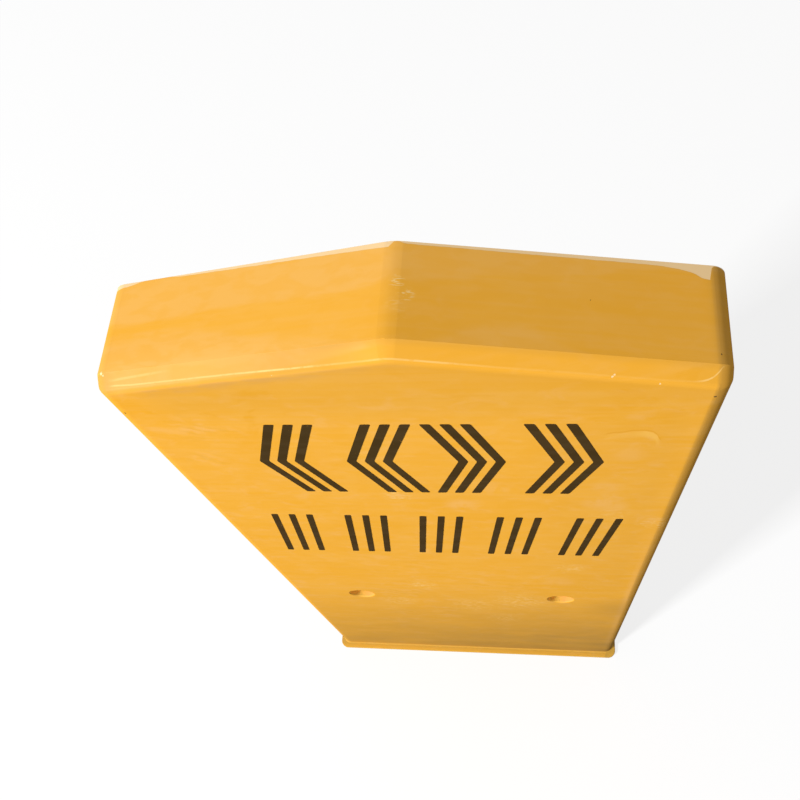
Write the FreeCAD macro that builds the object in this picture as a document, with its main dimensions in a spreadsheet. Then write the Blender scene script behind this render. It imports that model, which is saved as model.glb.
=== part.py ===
import FreeCAD, Part
import math
import os

import Sketcher

# Utility marker post: an upright slab of glass-fibre laminate with a shallow gable top.
# Two pieces come out of the workshop. The moulded shell is a tray laid up in a mould from the
# front, with its sides, both roof slopes, two through sleeves and a turned-out foot in one skin.
# A flat bevel runs along the front of both slopes and over the ridge.
# The back panel is a flat sheet bonded on the shell's rear rim.
# X runs across the face, -Y is the front and Z is up. The origin is on the ground, in the
# middle of the box round the foot.

doc = FreeCAD.newDocument("marker_post")
sheet = doc.addObject("Spreadsheet::Sheet", "dims")

SIZES = {
    "post_width": 500,
    "post_height": 1050,
    "post_depth": 100,
    "gable_rise": 45,
    "ridge_round": 40,
    "edge_round": 14,
    "bevel_back": 14,
    "bevel_drop": 10,
    "bevel_round": 7,
    "wall": 5,
    "panel_sheet": 4,
    "foot_out": 10,
    "foot_side": 5,
    "foot_cove": 2.5,
    "foot_corner": 13,
    "foot_edge_round": 1,
    "anchor_bore": 36,
    "anchor_spacing": 290,
    "anchor_height": 374,
    "sleeve_wall": 4,
    "mouth_round": 2,
}

for row, (alias, value) in enumerate(SIZES.items(), start=1):
    sheet.set(f"A{row}", alias)
    sheet.set(f"B{row}", str(value))
    sheet.setAlias(f"B{row}", alias)
doc.recompute()

# Places that several pieces share, as formulas of the sheet's sizes.
FRONT_FACE = "(dims.foot_out - dims.post_depth) / 2"
REAR_FACE = "(dims.foot_out + dims.post_depth) / 2"
REAR_RIM = f"{REAR_FACE} - dims.panel_sheet"
EAVE_HEIGHT = "dims.post_height - dims.gable_rise"
SHELL_DEPTH = "dims.post_depth - dims.panel_sheet"
INNER_ROUND = "dims.edge_round - dims.wall"
INNER_BEVEL_ROUND = "dims.bevel_round - dims.wall"
CUT_PAST = "dims.post_depth"

# Directions of an arc's ends, and how a constraint names the points of an edge and the sketch's
# own two axes, which meet in its origin.
RIGHT, UP = 0.0, math.pi / 2
START, END, CENTRE = range(1, 4)
ACROSS_AXIS, UPRIGHT_AXIS = range(-1, -3, -1)
ORIGIN_POINT = (ACROSS_AXIS, START)

NEAR = 0.01


def number(formula):
    """The value of a formula of the sheet's sizes."""
    return float(sheet.evalExpression(formula))


def new_body(name):
    """A body for one piece, labelled with the name of its file."""
    body = doc.addObject("PartDesign::Body", name)
    body.Label = name
    return body


def new_sketch(body, name, plane, offset="0"):
    """A sketch on one of the body's own origin planes, moved along the plane's normal."""
    sketch = body.newObject("Sketcher::SketchObject", name)
    for feature in body.Origin.OriginFeatures:
        if feature.Role == plane:
            sketch.AttachmentSupport = (feature, [""])
    sketch.MapMode = "FlatFace"
    sketch.setExpression("AttachmentOffset.Base.z", offset)
    return sketch


def tie(sketch, kind, *places):
    """Adds a constraint with no size."""
    sketch.addConstraint(Sketcher.Constraint(kind, *places))


def drive(sketch, name, formula, kind, *places):
    """Adds a dimension and binds it to a formula of the sheet's sizes."""
    index = sketch.addConstraint(Sketcher.Constraint(kind, *places, number(formula)))
    sketch.renameConstraint(index, name)
    sketch.setExpression(f"Constraints.{name}", formula)


def line(start, end):
    """A straight edge of an outline."""
    return Part.LineSegment(FreeCAD.Vector(*start, 0), FreeCAD.Vector(*end, 0))


def arc(centre, radius, first, last):
    """A round edge of an outline, from one angle to another, counter-clockwise."""
    circle = Part.Circle(FreeCAD.Vector(*centre, 0), FreeCAD.Vector(0, 0, 1), radius)
    return Part.ArcOfCircle(circle, first, last)


def draw_loop(sketch, pieces):
    """Draws a closed counter-clockwise loop in which arcs run on smoothly from the lines."""
    for piece in pieces:
        sketch.addGeometry(piece)
    for index, piece in enumerate(pieces):
        after = (index + 1) % len(pieces)
        smooth = isinstance(piece, Part.ArcOfCircle) or isinstance(pieces[after], Part.ArcOfCircle)
        tie(sketch, "Tangent" if smooth else "Coincident", index, END, after, START)


def grow(body, kind, name, profile, length, reverse=False):
    """Pads or pockets a sketch by a length that is bound to the sheet."""
    feature = body.newObject(kind, name)
    feature.Profile = profile
    feature.Reversed = reverse
    feature.setExpression("Length", length)
    profile.Visibility = False
    doc.recompute()
    return feature


def work_edges(body, kind, name, base, wanted):
    """Adds a rounding or a bevel on those edges of a feature whose box passes a test."""
    edges = base.Shape.Edges
    names = [f"Edge{i}" for i, edge in enumerate(edges, start=1) if wanted(edge.BoundBox)]
    if not names:
        raise RuntimeError(f"{name} found no edge to work on")
    feature = body.newObject(kind, name)
    feature.Base = (base, names)
    return feature


def round_edges(body, name, base, radius, wanted):
    """Rounds edges to a radius that is bound to the sheet."""
    fillet = work_edges(body, "PartDesign::Fillet", name, base, wanted)
    fillet.setExpression("Radius", radius)
    doc.recompute()
    return fillet


def bevel_edges(body, name, base, back, down, wanted):
    """Bevels edges by two distances that are bound to the sheet."""
    chamfer = work_edges(body, "PartDesign::Chamfer", name, base, wanted)
    chamfer.ChamferType = "Two distances"
    chamfer.setExpression("Size", back)
    chamfer.setExpression("Size2", down)
    doc.recompute()
    return chamfer


def level(low, high, place):
    """Whether an edge lies all along at one place."""
    return abs(low - place) < NEAR and abs(high - place) < NEAR


def gable_outline(body, name, offset):
    """The face's outline: a base, two upright sides and two slopes with a rounded ridge."""
    half = number("dims.post_width / 2")
    eave = number(EAVE_HEIGHT)
    ridge = number("dims.ridge_round")
    middle = number("dims.post_height") - ridge
    tilt = math.atan2(number("dims.gable_rise"), half)
    cap_side = ridge * math.sin(tilt)
    cap_level = middle + ridge * math.cos(tilt)
    sketch = new_sketch(body, name, "XZ_Plane", offset)
    base, right, _, cap, _, left = range(6)
    draw_loop(sketch, [
        line((-half, 0), (half, 0)),
        line((half, 0), (half, eave)),
        line((half, eave), (cap_side, cap_level)),
        arc((0, middle), ridge, UP - tilt, UP + tilt),
        line((-cap_side, cap_level), (-half, eave)),
        line((-half, eave), (-half, 0)),
    ])
    tie(sketch, "Horizontal", base)
    tie(sketch, "Vertical", right)
    tie(sketch, "Vertical", left)
    tie(sketch, "Equal", right, left)
    tie(sketch, "Symmetric", base, START, base, END, *ORIGIN_POINT)
    tie(sketch, "PointOnObject", cap, CENTRE, UPRIGHT_AXIS)
    drive(sketch, "width", "dims.post_width", "DistanceX", base, START, base, END)
    drive(sketch, "eave", EAVE_HEIGHT, "DistanceY", *ORIGIN_POINT, right, END)
    drive(sketch, "ridge", "dims.ridge_round", "Radius", cap)
    drive(sketch, "cap_middle", "dims.post_height - dims.ridge_round", "DistanceY",
          *ORIGIN_POINT, cap, CENTRE)
    return sketch


def plan_outline(body, name, half_width, front, rear, corner):
    """A plan of the foot: straight at the rear, with two rounded corners at the front."""
    side = number(half_width)
    near = number(front)
    far = number(rear)
    radius = number(corner)
    sketch = new_sketch(body, name, "XY_Plane")
    front_line, right_turn, right, back, left, left_turn = range(6)
    draw_loop(sketch, [
        line((radius - side, near), (side - radius, near)),
        arc((side - radius, near + radius), radius, -UP, RIGHT),
        line((side, near + radius), (side, far)),
        line((side, far), (-side, far)),
        line((-side, far), (-side, near + radius)),
        arc((radius - side, near + radius), radius, 2 * UP, 3 * UP),
    ])
    tie(sketch, "Horizontal", front_line)
    tie(sketch, "Vertical", right)
    tie(sketch, "Vertical", left)
    tie(sketch, "Equal", right_turn, left_turn)
    tie(sketch, "Symmetric", back, START, back, END, UPRIGHT_AXIS)
    drive(sketch, "width", f"2 * ({half_width})", "DistanceX", left, START, right, END)
    drive(sketch, "front", f"-({front})", "DistanceY", front_line, START, *ORIGIN_POINT)
    drive(sketch, "rear", rear, "DistanceY", *ORIGIN_POINT, right, END)
    drive(sketch, "corner", corner, "Radius", right_turn)
    return sketch


def anchor_circles(body, name, offset, diameter):
    """Two circles, side by side at the height of the anchor holes."""
    spacing = number("dims.anchor_spacing")
    height = number("dims.anchor_height")
    sketch = new_sketch(body, name, "XZ_Plane", offset)
    for index, side in enumerate((-1, 1)):
        middle = FreeCAD.Vector(side * spacing / 2, height, 0)
        sketch.addGeometry(Part.Circle(middle, FreeCAD.Vector(0, 0, 1), number(diameter) / 2))
        drive(sketch, f"height_{index}", "dims.anchor_height", "DistanceY",
              *ORIGIN_POINT, index, CENTRE)
    tie(sketch, "Equal", 0, 1)
    drive(sketch, "diameter", diameter, "Diameter", 0)
    drive(sketch, "spacing", "dims.anchor_spacing", "DistanceX", 0, CENTRE, 1, CENTRE)
    drive(sketch, "half_spacing", "dims.anchor_spacing / 2", "DistanceX",
          *ORIGIN_POINT, 1, CENTRE)
    return sketch


def drill_anchor_holes(body, base, offset):
    """Cuts both anchor holes right through a body, from its rear to past its front."""
    circles = anchor_circles(body, f"{body.Name}_bores", offset, "dims.anchor_bore")
    before = base.Shape.Volume
    holes = grow(body, "PartDesign::Pocket", f"{body.Name}_holes", circles, CUT_PAST, reverse=True)
    if holes.Shape.Volume >= before - NEAR:
        raise RuntimeError(f"the anchor holes cut nothing out of {body.Name}")
    return holes


def make_shell():
    """The tray: front, sides and slopes in one skin, with its foot and its two sleeves."""
    body = new_body("moulded_shell")
    front = number(FRONT_FACE)
    rim = number(REAR_RIM)
    wall = number("dims.wall")
    half = number("dims.post_width / 2")
    edge_round = number("dims.edge_round")
    foot_out = number("dims.foot_out")
    foot_side = number("dims.foot_side")

    outline = gable_outline(body, "shell_outline", f"-({REAR_RIM})")
    block = grow(body, "PartDesign::Pad", "shell_block", outline, SHELL_DEPTH)

    def along_face_top(box, inset):
        """Whether an edge bounds the top of the front wall's face, inset from the outer wall."""
        on_front = level(box.YMin, box.YMax, front + inset)
        return on_front and box.ZMin > NEAR and box.XLength > NEAR

    bevel = bevel_edges(body, "top_bevel", block, "dims.bevel_back", "dims.bevel_drop",
                        lambda box: along_face_top(box, 0))

    # The skin follows the mould at one thickness, open at the rear and at the ground.
    open_faces = [
        f"Face{i}" for i, face in enumerate(bevel.Shape.Faces, start=1)
        if level(face.BoundBox.YMin, face.BoundBox.YMax, rim)
        or level(face.BoundBox.ZMin, face.BoundBox.ZMax, 0)]
    skin = body.newObject("PartDesign::Thickness", "skin")
    skin.Base = (bevel, open_faces)
    skin.Reversed = True
    skin.setExpression("Value", "dims.wall")
    doc.recompute()

    def round_side_wall(box, inset):
        """Whether an edge runs up the front of a side wall or along its top, inset from outside."""
        on_side = level(abs(box.XMin), abs(box.XMax), half - inset)
        open_end = level(box.YMin, box.YMax, rim) or level(box.ZMin, box.ZMax, 0)
        return on_side and not open_end

    # The roundings inside follow those outside at the skin's thickness.
    inside = round_edges(body, "inside_rounds", skin, INNER_ROUND,
                         lambda box: round_side_wall(box, wall))
    under_bevel = round_edges(body, "inside_bevel_round", inside, INNER_BEVEL_ROUND,
                              lambda box: along_face_top(box, wall))
    mould = round_edges(body, "mould_rounds", under_bevel, "dims.edge_round",
                        lambda box: round_side_wall(box, 0))
    round_edges(body, "bevel_round", mould, "dims.bevel_round",
                lambda box: along_face_top(box, 0))

    # At the ground the skin turns out over the mould's flange.
    foot_plan = plan_outline(
        body, "foot_plan", "dims.post_width / 2 + dims.foot_side",
        f"{FRONT_FACE} - dims.foot_out", REAR_RIM, "dims.foot_corner")
    foot = grow(body, "PartDesign::Pad", "foot_plate", foot_plan, "dims.wall")
    mouth_plan = plan_outline(
        body, "mouth_plan", "dims.post_width / 2 - dims.wall",
        f"{FRONT_FACE} + dims.wall", REAR_RIM, INNER_ROUND)
    mouth = grow(body, "PartDesign::Pocket", "ground_mouth", mouth_plan, "dims.wall", reverse=True)
    if mouth.Shape.Volume >= foot.Shape.Volume - NEAR:
        raise RuntimeError("the ground mouth cut nothing")

    def runs_round_wall(box, inset, height):
        """Whether an edge runs round the tray at one height, inset from the outer wall."""
        across = half - inset
        within = box.YMin > front + inset - NEAR and max(-box.XMin, box.XMax) < across + NEAR
        on_side = level(abs(box.XMin), abs(box.XMax), across)
        on_front = level(box.YMin, box.YMax, front + inset)
        turns = min(box.XLength, box.YLength) > NEAR and box.YMax < front + edge_round + NEAR
        return level(box.ZMin, box.ZMax, height) and within and (on_side or on_front or turns)

    cove = round_edges(body, "foot_cove", mouth, "dims.foot_cove",
                       lambda box: runs_round_wall(box, 0, wall))
    flare = round_edges(body, "foot_flare", cove, "dims.foot_cove + dims.wall",
                        lambda box: runs_round_wall(box, wall, 0))

    def runs_round_lip(box):
        """Whether an edge is on the top of the foot's outer rim."""
        outermost = level(abs(box.XMin), abs(box.XMax), half + foot_side)
        foremost = box.YMin < front - foot_out + NEAR
        return level(box.ZMin, box.ZMax, wall) and (outermost or foremost)

    round_edges(body, "foot_edge", flare, "dims.foot_edge_round", runs_round_lip)

    # Each sleeve stands on the inside of the front wall and ends flush with the rear rim, on the
    # back panel, so that a rod passes through without meeting the hollow.
    rings = anchor_circles(body, "sleeve_rings", f"-({REAR_RIM})",
                           "dims.anchor_bore + 2 * dims.sleeve_wall")
    sleeves = grow(body, "PartDesign::Pad", "sleeves", rings, f"{SHELL_DEPTH} - dims.wall")
    holes = drill_anchor_holes(body, sleeves, f"-({REAR_RIM})")
    mouths = round_edges(
        body, "hole_mouths", holes, "dims.mouth_round",
        lambda box: level(box.YMin, box.YMax, front) and abs(box.XLength - box.ZLength) < NEAR
        and box.XLength < number("dims.anchor_bore") + NEAR)
    body.Tip = mouths
    return body


def make_back_panel():
    """The flat sheet that closes the tray, cut to the tray's own outline."""
    body = new_body("back_panel")
    half = number("dims.post_width / 2")
    eave = number(EAVE_HEIGHT)
    outline = gable_outline(body, "panel_outline", f"-({REAR_FACE})")
    sheet_pad = grow(body, "PartDesign::Pad", "panel_sheet_pad", outline, "dims.panel_sheet")
    corners = round_edges(
        body, "panel_corners", sheet_pad, "dims.edge_round",
        lambda box: level(box.ZMin, box.ZMax, eave) and level(abs(box.XMin), abs(box.XMax), half))
    body.Tip = drill_anchor_holes(body, corners, f"-({REAR_FACE})")
    return body


bodies = [make_shell(), make_back_panel()]
doc.recompute()

for item in doc.Objects:
    if "Invalid" in item.State or "Error" in item.State:
        raise RuntimeError(f"{item.Name} failed: {item.State}")

os.makedirs("parts", exist_ok=True)
for body in bodies:
    shape = body.Shape
    if shape.isNull() or not shape.isValid() or len(shape.Solids) != 1:
        raise RuntimeError(f"{body.Label} is not one sound solid")
    shape.exportStep(f"parts/{body.Label}.step")
    box = shape.BoundBox
    print(f"{body.Label}: {shape.Volume / 1000:.1f} cm3, x {box.XMin:.2f} to {box.XMax:.2f},"
          f" y {box.YMin:.2f} to {box.YMax:.2f}, z {box.ZMin:.2f} to {box.ZMax:.2f}")
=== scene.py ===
# %% [markdown]
# # Utility marker post
# The post is a hollow slab of glass-fibre laminate with an orange-yellow gelcoat. Two imported pieces
# carry its shape: the moulded tray and the flat panel bonded on its back. This lesson gives them
# their finishes, and adds what is too thin for a solid: the painted marks and the painted highlights.
# Lengths are metres, X runs across the face, -Y is the front and Z is up.

# %% Load the imported model
import math

import bmesh
import bpy
from mathutils import Matrix, Vector


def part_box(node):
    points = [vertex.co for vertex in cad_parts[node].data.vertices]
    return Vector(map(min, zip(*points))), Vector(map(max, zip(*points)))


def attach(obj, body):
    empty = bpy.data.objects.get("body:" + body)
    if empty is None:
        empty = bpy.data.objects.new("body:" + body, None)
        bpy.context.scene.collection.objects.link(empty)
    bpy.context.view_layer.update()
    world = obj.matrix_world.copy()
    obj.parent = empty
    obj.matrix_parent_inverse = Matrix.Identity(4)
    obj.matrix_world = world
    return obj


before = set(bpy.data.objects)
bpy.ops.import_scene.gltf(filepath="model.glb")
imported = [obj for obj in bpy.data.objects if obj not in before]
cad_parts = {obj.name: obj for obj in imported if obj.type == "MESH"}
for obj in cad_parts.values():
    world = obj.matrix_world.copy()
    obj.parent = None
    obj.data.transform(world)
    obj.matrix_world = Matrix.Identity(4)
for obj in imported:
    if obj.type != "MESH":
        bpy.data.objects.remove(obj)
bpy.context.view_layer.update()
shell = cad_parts["moulded_shell"]
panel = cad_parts["back_panel"]

# %% [markdown]
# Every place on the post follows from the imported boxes. The tray's box gives the front of the foot,
# which stands out past the front face, and the panel's box gives the rear face, the width and the
# height. The roof's rise, the roundings and the bores can't be read from a box, so they are named.

# %% Places on the post
MM = 0.001
FOOT_OUT = 10 * MM
WALL = 5 * MM
EDGE_ROUND = 14 * MM
GABLE_RISE = 45 * MM
RIDGE_ROUND = 40 * MM
BEVEL_BACK = 14 * MM
BEVEL_DROP = 10 * MM
BORE_RADIUS = 18 * MM
BORE_ACROSS = 145 * MM
BORE_HEIGHT = 374 * MM

shell_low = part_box("moulded_shell")[0]
panel_low, panel_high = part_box("back_panel")
FRONT = shell_low.y + FOOT_OUT
SEAM = panel_low.y
REAR = panel_high.y
HALF = panel_high.x
TOP = panel_high.z
EAVE = TOP - GABLE_RISE
print(f"front {FRONT:.4f}, seam {SEAM:.4f}, rear {REAR:.4f}, half width {HALF:.4f}, top {TOP:.4f}")

# %% [markdown]
# The roof's slopes run from the eaves to a rounded ridge and touch its arc. The tilt of such a
# tangent is the angle to the arc's centre plus the angle that the arc's radius fills.

# %% The roof's tilt
cap_centre = TOP - RIDGE_ROUND
to_centre = math.atan2(cap_centre - EAVE, HALF)
TILT = to_centre + math.asin(RIDGE_ROUND / math.hypot(cap_centre - EAVE, HALF))
print(f"roof tilt {math.degrees(TILT):.2f} degrees")

# %% [markdown]
# The picture to match was taken from close by and high up, so the slab looks like a wedge. A camera
# could be set by eye, but the wedge changes with every centimetre, so lines fitted to its edges gave
# the lens, the place and the direction. A picture that was cropped has its centre of view off the
# middle, and the lens shift stands for that.

# %% Camera
IMAGE = 800
SENSOR = 36.0
FOCAL_PIXELS = 821.26
VIEW_CENTRE = (403.72, 477.28)
CAMERA_PLACE = (0.1052, -0.3454, 1.5460)
VIEW_DIRECTION = (-0.15563, 0.38013, -0.91175)
UP_HINT = (-0.00693, 0.92255, 0.38582)

camera_data = bpy.data.cameras.new("picture_camera")
camera_data.sensor_width = SENSOR
camera_data.lens = FOCAL_PIXELS / IMAGE * SENSOR
camera_data.shift_x = (IMAGE / 2 - VIEW_CENTRE[0]) / IMAGE
camera_data.shift_y = (VIEW_CENTRE[1] - IMAGE / 2) / IMAGE
camera = bpy.data.objects.new("picture_camera", camera_data)
bpy.context.scene.collection.objects.link(camera)
forward = Vector(VIEW_DIRECTION)
right = forward.cross(Vector(UP_HINT)).normalized()
up = right.cross(forward).normalized()
turn = Matrix((right, up, -forward.normalized())).transposed()
camera.matrix_world = Matrix.Translation(CAMERA_PLACE) @ turn.to_4x4()
bpy.context.scene.camera = camera
print(f"lens {camera_data.lens:.2f} mm, shift {camera_data.shift_x:.4f}, {camera_data.shift_y:.4f}")

# %% [markdown]
# A finish is a recipe of shader nodes. Nodes could be added one by one, but three short helpers keep
# each recipe readable: one links a socket, one adds a node, and one does sums.

# %% Helpers that add nodes
def connect(tree, socket, value):
    """Links another node's output, or sets a plain value."""
    if isinstance(value, bpy.types.NodeSocket):
        tree.links.new(value, socket)
    elif value is not None:
        socket.default_value = value


def node(tree, kind, inputs=None, **settings):
    """Adds one node, with its settings and its inputs."""
    made = tree.nodes.new(kind)
    for name, value in settings.items():
        setattr(made, name, value)
    for name, value in (inputs or {}).items():
        connect(tree, made.inputs[name], value)
    return made


def calc(tree, operation, *values, clamp=False):
    """A sum of one, two or three values."""
    made = node(tree, "ShaderNodeMath", operation=operation, use_clamp=clamp)
    for socket, value in zip(made.inputs, values):
        connect(tree, socket, value)
    return made.outputs[0]


print("node helpers ready")

# %% [markdown]
# A layer of paint, dirt or wear is a colour laid over another one by a mask, which is a value from 0
# to 1. A mask is made from any measure, such as a height, by letting it change softly between two
# limits. Masks are joined by multiplying them, and the wider of two is their maximum.

# %% Helpers for masks and layers
def mask(tree, value, low, high):
    """0 up to low and 1 from high on, with a smooth change. It falls if low is above high."""
    made = node(tree, "ShaderNodeMapRange", {"Value": value, "From Min": low, "From Max": high},
                interpolation_type="SMOOTHSTEP")
    return made.outputs["Result"]


def both(tree, *amounts):
    """The product of several masks: 1 only where each of them is 1."""
    result = amounts[0]
    for amount in amounts[1:]:
        result = calc(tree, "MULTIPLY", result, amount)
    return result


def cover(tree, amount, under, over):
    """One colour laid over another by an amount from 0 to 1."""
    made = node(tree, "ShaderNodeMix", data_type="RGBA")
    connect(tree, made.inputs["Factor"], amount)
    connect(tree, made.inputs["A"], under)
    connect(tree, made.inputs["B"], over)
    return made.outputs["Result"]


print("mask helpers ready")

# %% [markdown]
# Clouds of noise make most of the variety of a surface. Stretching the place before the noise is
# read gives streaks: a small factor along one direction draws the marks out that way.

# %% Helpers for noise
def cloud(tree, place, scale, detail=4.0, roughness=0.55, distortion=0.0):
    """Soft noise from 0 to 1, mostly near a half."""
    made = node(tree, "ShaderNodeTexNoise", {
        "Vector": place, "Scale": scale, "Detail": detail, "Roughness": roughness,
        "Distortion": distortion})
    return made.outputs["Fac"]


def streaks(tree, place, factors, shift, detail=3.0, distortion=0.4):
    """Noise that is stretched by its own factor along X, Y and Z."""
    moved = node(tree, "ShaderNodeMapping", {"Vector": place, "Scale": factors, "Location": shift})
    return cloud(tree, moved.outputs["Vector"], 1.0, detail, 0.55, distortion)


def near(tree, place, spot, inner, outer):
    """1 within the inner distance of a spot in millimetres, 0 beyond the outer one."""
    away = node(tree, "ShaderNodeVectorMath", {1: [value * MM for value in spot]},
                operation="DISTANCE")
    connect(tree, away.inputs[0], place)
    return mask(tree, away.outputs["Value"], outer * MM, inner * MM)


print("noise helpers ready")

# %% [markdown]
# Several bands of the finish run along the roof and change their width on the way. A table of
# widths drives a curve node, which turns the place across the post into a width.

# %% A width that changes across the post
SPAN_HALF = 260 * MM


def width_across(tree, x, table, most):
    """A width in metres from a table of places and widths in millimetres."""
    along = calc(tree, "MULTIPLY_ADD", x, 0.5 / SPAN_HALF, 0.5)
    made = node(tree, "ShaderNodeFloatCurve", {"Value": along})
    curve = made.mapping.curves[0]
    spots = [(0.5 + place * MM * 0.5 / SPAN_HALF, width / most) for place, width in table]
    curve.points[0].location = spots[0]
    curve.points[1].location = spots[-1]
    for spot in spots[1:-1]:
        curve.points.new(*spot)
    for point in curve.points:
        point.handle_type = "VECTOR"
    made.mapping.update()
    return calc(tree, "MULTIPLY", made.outputs[0], most * MM)


print("curves run", 2 * SPAN_HALF, "m across the post")

# %% [markdown]
# Where the back panel was bonded on, the edge was ground flush. The grinder took the gelcoat off in
# an uneven strip, which bares the pale laminate and the bonding paste. The strip is 3 to 5 mm wide
# along the roof, widens to a wedge at each end, and fades out beside the left eave and at the ridge.
# It is flat with the surface, so it is drawn by a mask that both pieces share and not cut into them.
# The mask needs to know how far a place is from the walls, the roof and the bores.

# %% Distances from the walls, the roof and the bores
def under_walls(tree, x, z):
    """How far a place lies in from the nearer side wall, and how far under the nearer slope."""
    across = calc(tree, "SUBTRACT", HALF, calc(tree, "ABSOLUTE", x))
    below = calc(tree, "MULTIPLY", calc(tree, "SUBTRACT", EAVE, z), math.cos(TILT))
    return across, calc(tree, "MULTIPLY_ADD", across, math.sin(TILT), below)


def from_bore(tree, x, z):
    """Distance from the middle of the nearer bore."""
    across = calc(tree, "SUBTRACT", calc(tree, "ABSOLUTE", x), BORE_ACROSS)
    upward = calc(tree, "SUBTRACT", z, BORE_HEIGHT)
    place = node(tree, "ShaderNodeCombineXYZ", {"X": across, "Y": upward}).outputs[0]
    length = node(tree, "ShaderNodeVectorMath", {0: place}, operation="LENGTH")
    return length.outputs["Value"]


print("distance helpers ready")

# %% [markdown]
# The strip's own mask compares the distance from the rear face with the strip's width, which comes
# from a table on the roof and from slow noise on the sides. Finer noise makes the edge ragged. On the
# rear face itself, the grinder only touched the outline and the rims of the two bores.

# %% The ground strip along the rear edge
ROOF_STRIP = [
    (-260, 3.5), (-250, 4.5), (-243, 4.6), (-234, 3.6), (-222, 0.8), (-216, 0.0), (-194, 0.0),
    (-186, 1.6), (-120, 2.8), (-60, 3.8), (-12, 5.0), (-4, 5.2), (0, 0.6), (4, 0.4), (9, 2.2),
    (90, 3.0), (190, 3.8), (202, 4.4), (212, 5.6), (221, 7.4), (226, 9.8), (229, 12.2), (232, 13.0),
    (236.6, 13.4), (237.8, 0.8), (260, 1.0)]
SIDE_STRIP = 3.2 * MM
SIDE_WANDER = 9 * MM
STRIP_RAGGED = 1.4 * MM
RIM_STRIP = 2.2 * MM
RIM_RAGGED = 2.4 * MM
OUTLINE_STRIP = 1.4 * MM
OUTLINE_FADE = 1.0 * MM


def rear_outline(tree, x, z):
    """1 within a grinder's touch of the post's outline, seen from behind."""
    across, to_roof = under_walls(tree, x, z)
    nearest = calc(tree, "MINIMUM", across, to_roof)
    return mask(tree, nearest, OUTLINE_STRIP + OUTLINE_FADE, OUTLINE_STRIP)


def ground_strip(tree, x, y, z):
    """1 on the bare laminate along the rear edge, 0 on the gelcoat."""
    place = node(tree, "ShaderNodeCombineXYZ", {"X": x, "Z": z}).outputs[0]
    ragged = calc(tree, "SUBTRACT", cloud(tree, place, 90.0, detail=5.0), 0.5)
    slow = calc(tree, "SUBTRACT", cloud(tree, place, 9.0, detail=2.0), 0.5)
    side_width = calc(tree, "MULTIPLY_ADD", slow, SIDE_WANDER, SIDE_STRIP)
    roof_width = width_across(tree, x, ROOF_STRIP, 16)
    width = node(tree, "ShaderNodeMix", data_type="FLOAT")
    connect(tree, width.inputs["Factor"], mask(tree, z, EAVE - 16 * MM, EAVE - 8 * MM))
    connect(tree, width.inputs["A"], side_width)
    connect(tree, width.inputs["B"], roof_width)
    width = calc(tree, "MULTIPLY_ADD", ragged, STRIP_RAGGED, width.outputs["Result"])
    from_rear = calc(tree, "SUBTRACT", REAR, y)
    strip = mask(tree, calc(tree, "SUBTRACT", width, from_rear), -0.15 * MM, 0.25 * MM)
    behind = mask(tree, from_rear, 0.4 * MM, 0.2 * MM)
    bore = from_bore(tree, x, z)
    rim_width = calc(tree, "MULTIPLY_ADD", ragged, RIM_RAGGED, BORE_RADIUS + RIM_STRIP)
    rim = mask(tree, calc(tree, "SUBTRACT", rim_width, bore), -0.2 * MM, 0.2 * MM)
    touched = calc(tree, "MAXIMUM", rear_outline(tree, x, z), rim)
    kept = calc(tree, "MAXIMUM", touched, calc(tree, "SUBTRACT", 1.0, behind))
    return both(tree, strip, kept)


print("the strip's width is set at", len(ROOF_STRIP), "places along the roof")

# %% [markdown]
# The slopes aren't one even yellow. Behind, a paler chalky band lies along the whole left slope and
# thins out on the right one, and the left slope has a second one at its front, so that a richer
# band is left between them. Their edges are soft and drawn out along the slope, as a wide brush or a
# damp cloth leaves them. Noise alone would give bands in chance places, so two tables give the bands'
# edges, measured from the rear face, and noise only lets them wander.

# %% Bands on the roof
REAR_BAND = [
    (-260, 39), (-220, 41), (-190, 43), (-150, 41), (-110, 43), (-70, 40), (-35, 41), (-12, 38),
    (0, 32), (20, 36), (45, 28), (70, 24), (110, 21), (150, 20), (175, 12), (200, 7), (260, 5)]
FRONT_BAND = [
    (-260, 57), (-220, 58), (-190, 56), (-160, 56), (-130, 60), (-110, 68), (-85, 74), (-60, 76),
    (-35, 80), (-10, 92), (0, 98), (60, 70), (100, 66), (140, 88), (170, 98), (260, 92)]
BAND_WANDER = 26 * MM


def roof_bands(tree, place, x, y):
    """How chalky the roof is: 1 in the pale bands behind and in front, 0 in the rich one."""
    from_rear = calc(tree, "SUBTRACT", REAR, y)
    wander = streaks(tree, place, (14.0, 60.0, 0.0), (0.4, 0.0, 0.0), detail=4.0)
    wander = calc(tree, "MULTIPLY", calc(tree, "SUBTRACT", wander, 0.5), BAND_WANDER)
    place_in_band = calc(tree, "ADD", from_rear, wander)
    rear_edge = width_across(tree, x, REAR_BAND, 110)
    front_edge = width_across(tree, x, FRONT_BAND, 110)
    behind = mask(tree, calc(tree, "SUBTRACT", rear_edge, place_in_band), -3 * MM, 4 * MM)
    ahead = mask(tree, calc(tree, "SUBTRACT", place_in_band, front_edge), -5 * MM, 6 * MM)
    return calc(tree, "MAXIMUM", behind, ahead)


print("band edges set at", len(REAR_BAND), "and", len(FRONT_BAND), "places")

# %% [markdown]
# Handling leaves small marks: chafed spots on the ridge and on the face, chips on the front edges
# that show the pale laminate, smears of bloom on the face, and a few dark specks of dirt. Random
# places would be quicker, but each mark has a place of its own here, so that it can be moved alone. A
# row gives the place in millimetres. A spot's size follows, or for a patch the distances at which it
# is full and gone, and its strength.

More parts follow.
